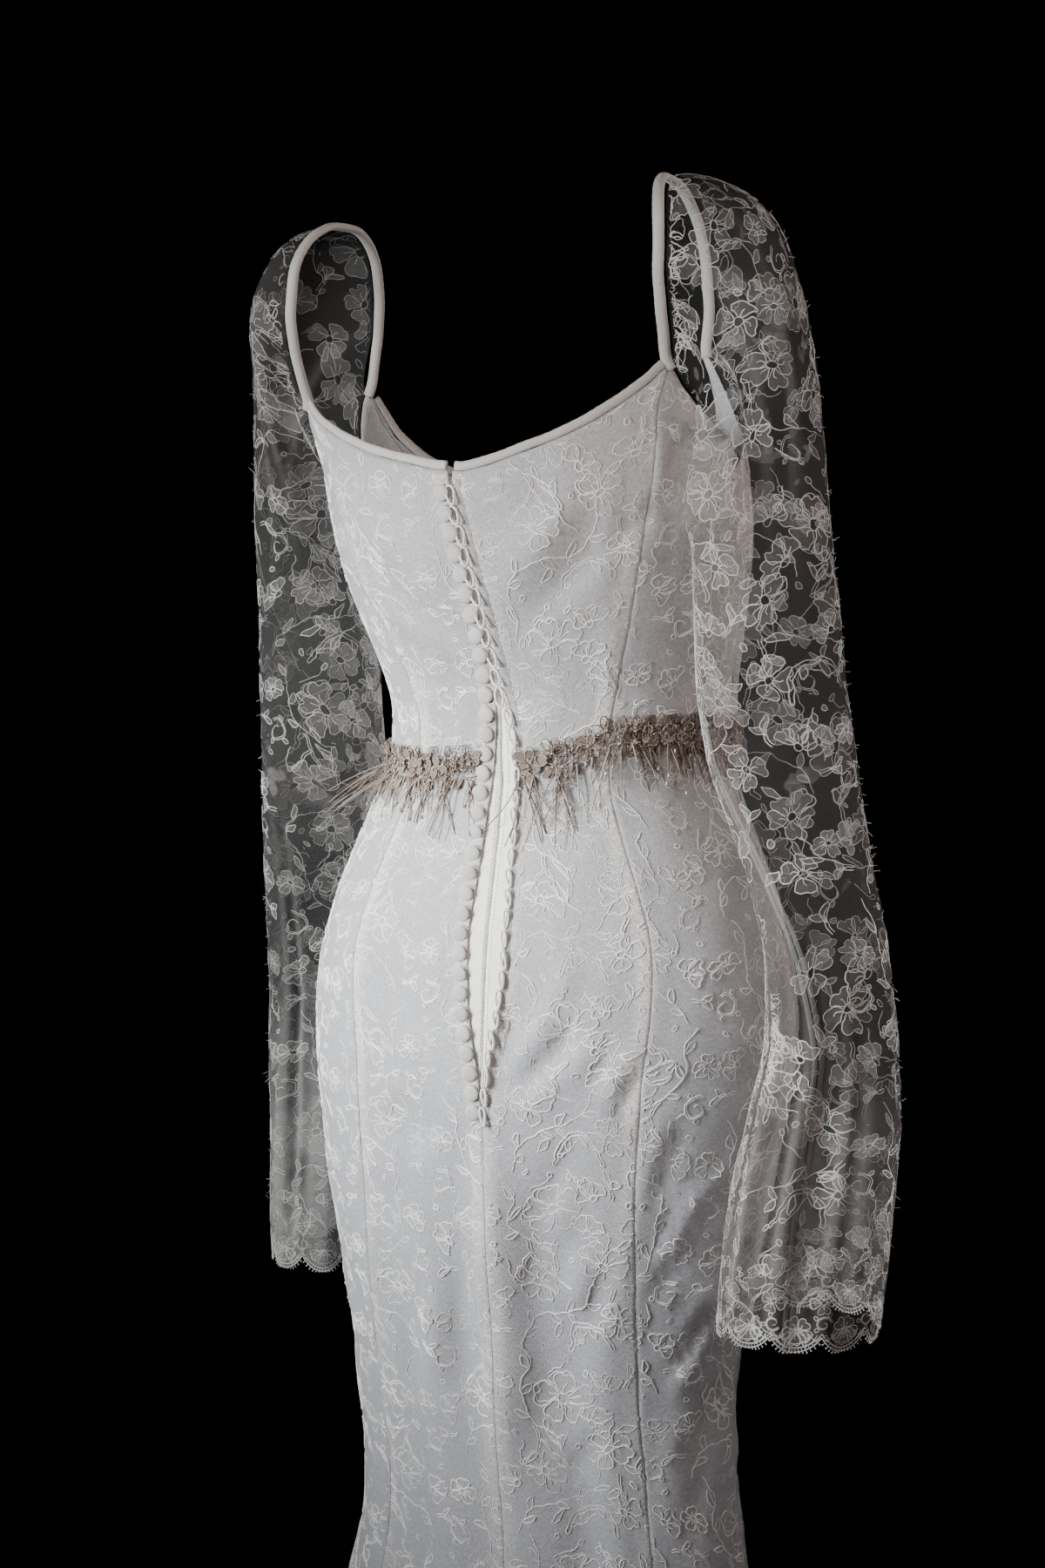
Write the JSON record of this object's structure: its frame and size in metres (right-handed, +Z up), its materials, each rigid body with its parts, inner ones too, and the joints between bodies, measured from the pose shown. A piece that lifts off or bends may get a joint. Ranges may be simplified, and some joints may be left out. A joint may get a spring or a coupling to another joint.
{
  "type": "wedding dress",
  "caption": "Floor-length mermaid wedding dress with long sheer lace sleeves, a buttoned back and a beaded fringe trim at the waist, filled out as worn and hollow inside.",
  "frame": {"origin": "midway between the tops of the two shoulder straps, where the dress hangs from the wearer's shoulders", "axes": "+Z up along the wearer's height, -Y towards the front of the dress, +Y towards the buttoned back, +X towards the wearer's left"},
  "size_m": [0.6862, 0.558, 1.4596],
  "materials": {
    "satin": "off-white satin under corded floral lace, soft low sheen",
    "lace": "sheer off-white net with raised white cords, matt",
    "bias_binding": "warm ivory satin bias binding, soft sheen",
    "placket_satin": "warm ivory satin, soft sheen",
    "covered_button": "small domed buttons covered in ivory satin",
    "waist_braid": "taupe braid and thread fringe with small glass beads"
  },
  "bodies": {
    "root": {"centre_front": "satin", "side_front_L": "satin", "side_front_R": "satin", "side_back_L": "satin", "side_back_R": "satin", "centre_back_L": "satin", "centre_back_R": "satin", "sleeve_L": "lace", "sleeve_R": "lace", "back_neck_binding_L": "bias_binding", "back_neck_binding_R": "bias_binding", "front_neck_binding": "bias_binding", "strap_binding_L": "bias_binding", "strap_binding_R": "bias_binding", "loop_strip": "bias_binding", "placket_L": "placket_satin", "placket_R": "placket_satin", "button_01": "covered_button", "button_02": "covered_button", "button_03": "covered_button", "button_04": "covered_button", "button_05": "covered_button", "button_06": "covered_button", "button_07": "covered_button", "button_08": "covered_button", "button_09": "covered_button", "button_10": "covered_button", "button_11": "covered_button", "button_12": "covered_button", "button_13": "covered_button", "button_14": "covered_button", "button_15": "covered_button", "button_16": "covered_button", "button_17": "covered_button", "button_18": "covered_button", "button_19": "covered_button", "button_20": "covered_button", "button_21": "covered_button", "button_22": "covered_button", "button_23": "covered_button", "button_24": "covered_button", "button_25": "covered_button", "button_26": "covered_button", "button_27": "covered_button", "button_28": "covered_button", "button_29": "covered_button", "button_30": "covered_button", "button_31": "covered_button", "button_32": "covered_button", "waist_braid_L": "waist_braid", "waist_braid_R": "waist_braid", "fringe_L": "waist_braid", "fringe_R": "waist_braid"}
  },
  "joints": []
}
